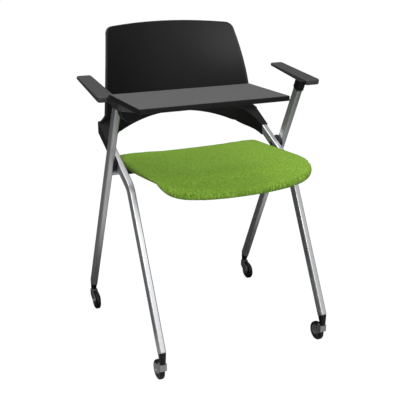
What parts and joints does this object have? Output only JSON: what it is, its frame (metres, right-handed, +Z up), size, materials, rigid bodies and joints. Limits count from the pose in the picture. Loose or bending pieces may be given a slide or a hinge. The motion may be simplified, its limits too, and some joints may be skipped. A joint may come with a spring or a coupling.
{
  "type": "nesting chair",
  "caption": "Armchair on castors with crossed flat-tube legs, a flip-up upholstered seat, an arched moulded back, arm pads and a fold-away writing tablet.",
  "frame": {"origin": "on the floor, under the middle of the bounding box", "axes": "+Z up, -Y the way the sitter faces, +X to the right as seen from the front; left and right in names are as seen from the front, so the tablet at -X serves the sitter's right hand"},
  "size_m": [0.613, 0.5876, 0.814],
  "materials": {
    "frame_paint": "silver-grey powder coat, satin",
    "bar_steel": "plain bright steel",
    "fork_metal": "grey metallic",
    "dark_paint": "dark grey, satin",
    "bracket_paint": "mid grey metallic, satin",
    "back_plastic": "moulded, satin black",
    "black_plastic": "moulded, fine grain",
    "pad_plastic": "soft dark grey, fine grain",
    "tablet_laminate": "mid grey laminate, matt",
    "seat_fabric": "green melange woven upholstery",
    "hub_plastic": "moulded",
    "castor_tyre": "soft tread",
    "steel": "plain",
    "steel_dark": "blackened"
  },
  "bodies": {
    "frame": {"outer_tube_left": "frame_paint", "outer_tube_right": "frame_paint", "inner_tube_left": "frame_paint", "inner_tube_right": "frame_paint", "spacer_left": "black_plastic", "spacer_right": "black_plastic", "crossing_bolts": "steel", "cross_tube": "bar_steel", "seat_rests": "dark_paint", "leg_plug_front_left": "black_plastic", "leg_plug_front_right": "black_plastic", "leg_plug_rear_left": "black_plastic", "leg_plug_rear_right": "black_plastic", "backrest_shell": "back_plastic", "back_screws": "steel_dark", "arm_collar_left": "black_plastic", "arm_collar_right": "black_plastic", "arm_pad_left": "pad_plastic", "arm_pad_right": "pad_plastic", "pad_screws": "steel_dark", "tablet_arm": "dark_paint", "fold_pin": "steel"},
    "seat": {"seat_cushion": "seat_fabric", "seat_pan": "black_plastic", "seat_hinge_left": "black_plastic", "seat_hinge_right": "black_plastic", "seat_screws": "steel_dark"},
    "tablet": {"fold_rotor": "black_plastic", "rotor_cap": "black_plastic", "tablet_bracket": "bracket_paint", "tablet_board": "tablet_laminate", "tablet_band": "black_plastic", "tablet_screws": "steel_dark"},
    "castor_front_left": {"fork_front_left": "fork_metal", "axle_front_left": "steel"},
    "wheel_front_left": {"hub_front_left": "hub_plastic", "tyre_front_left": "castor_tyre"},
    "castor_front_right": {"fork_front_right": "fork_metal", "axle_front_right": "steel"},
    "wheel_front_right": {"hub_front_right": "hub_plastic", "tyre_front_right": "castor_tyre"},
    "castor_rear_left": {"fork_rear_left": "fork_metal", "axle_rear_left": "steel"},
    "wheel_rear_left": {"hub_rear_left": "hub_plastic", "tyre_rear_left": "castor_tyre"},
    "castor_rear_right": {"fork_rear_right": "fork_metal", "axle_rear_right": "steel"},
    "wheel_rear_right": {"hub_rear_right": "hub_plastic", "tyre_rear_right": "castor_tyre"}
  },
  "joints": [
    {"name": "seat_flip", "type": "hinge", "parent": "frame", "child": "seat", "pos_m": [0, 0.08638, 0.456], "axis": [-1, 0, 0], "range_deg": [0, 75]},
    {"name": "tablet_fold", "type": "hinge", "parent": "frame", "child": "tablet", "pos_m": [-0.264, -0.12331, 0.658], "axis": [0, -1, 0], "range_deg": [0, 250]},
    {"name": "swivel_front_left", "type": "hinge", "parent": "frame", "child": "castor_front_left", "pos_m": [-0.23, -0.20681, 0.06], "axis": [0, 0, 1], "continuous": true},
    {"name": "spin_front_left", "type": "hinge", "parent": "castor_front_left", "child": "wheel_front_left", "pos_m": [-0.23, -0.18281, 0.025], "axis": [1, 0, 0], "continuous": true},
    {"name": "swivel_front_right", "type": "hinge", "parent": "frame", "child": "castor_front_right", "pos_m": [0.23, -0.20681, 0.06], "axis": [0, 0, 1], "continuous": true},
    {"name": "spin_front_right", "type": "hinge", "parent": "castor_front_right", "child": "wheel_front_right", "pos_m": [0.23, -0.18281, 0.025], "axis": [1, 0, 0], "continuous": true},
    {"name": "swivel_rear_left", "type": "hinge", "parent": "frame", "child": "castor_rear_left", "pos_m": [-0.2525, 0.27019, 0.06], "axis": [0, 0, 1], "continuous": true},
    {"name": "spin_rear_left", "type": "hinge", "parent": "castor_rear_left", "child": "wheel_rear_left", "pos_m": [-0.2525, 0.24619, 0.025], "axis": [1, 0, 0], "continuous": true},
    {"name": "swivel_rear_right", "type": "hinge", "parent": "frame", "child": "castor_rear_right", "pos_m": [0.2525, 0.27019, 0.06], "axis": [0, 0, 1], "continuous": true},
    {"name": "spin_rear_right", "type": "hinge", "parent": "castor_rear_right", "child": "wheel_rear_right", "pos_m": [0.2525, 0.24619, 0.025], "axis": [1, 0, 0], "continuous": true}
  ]
}
